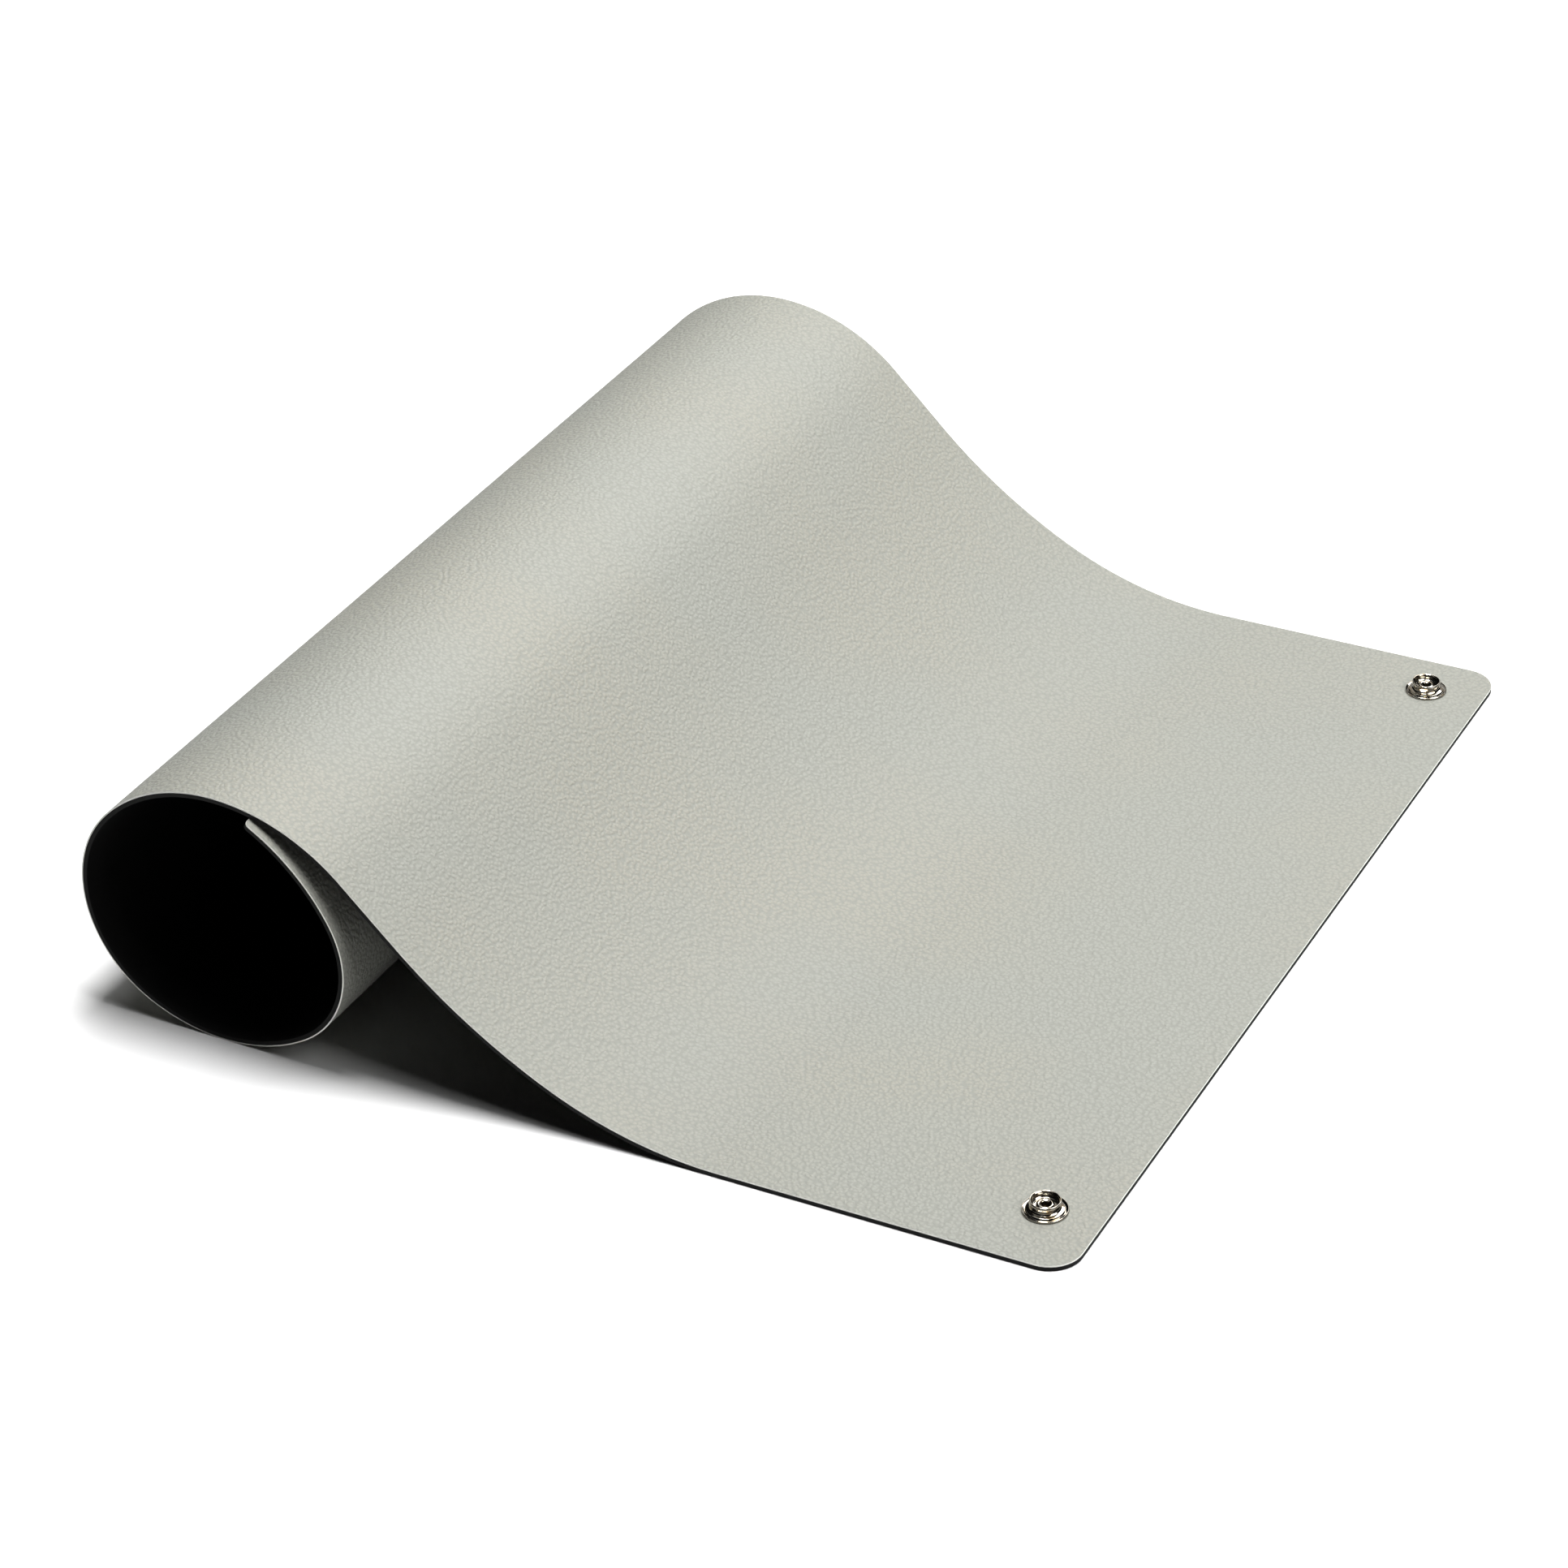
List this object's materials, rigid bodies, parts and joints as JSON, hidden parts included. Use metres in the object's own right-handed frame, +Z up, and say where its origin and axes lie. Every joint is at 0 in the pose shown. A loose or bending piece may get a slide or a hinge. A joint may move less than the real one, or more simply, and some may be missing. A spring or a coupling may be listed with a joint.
{
  "type": "anti-static bench mat",
  "caption": "Two-layer anti-static bench mat of rubber, flat at its free end and rolled up at the other, with riveted press studs for a ground lead at the free corners.",
  "frame": {"origin": "on the floor, under the middle of the whole mat as it lies partly rolled", "axes": "+X towards the flat free end with the press studs, +Y along the roll, across the mat, +Z up"},
  "size_m": [0.346, 0.383, 0.0957],
  "materials": {
    "grey_rubber": "light warm grey rubber, embossed with a fine leather grain, satin",
    "black_rubber": "black conductive rubber, fine matt grain",
    "nickel": "bright nickel-plated brass, pressed and rolled"
  },
  "bodies": {
    "root": {"grey_top_layer": "grey_rubber", "black_base_layer": "black_rubber", "near_stud": "nickel", "near_rivet": "nickel", "far_stud": "nickel", "far_rivet": "nickel"}
  },
  "joints": []
}
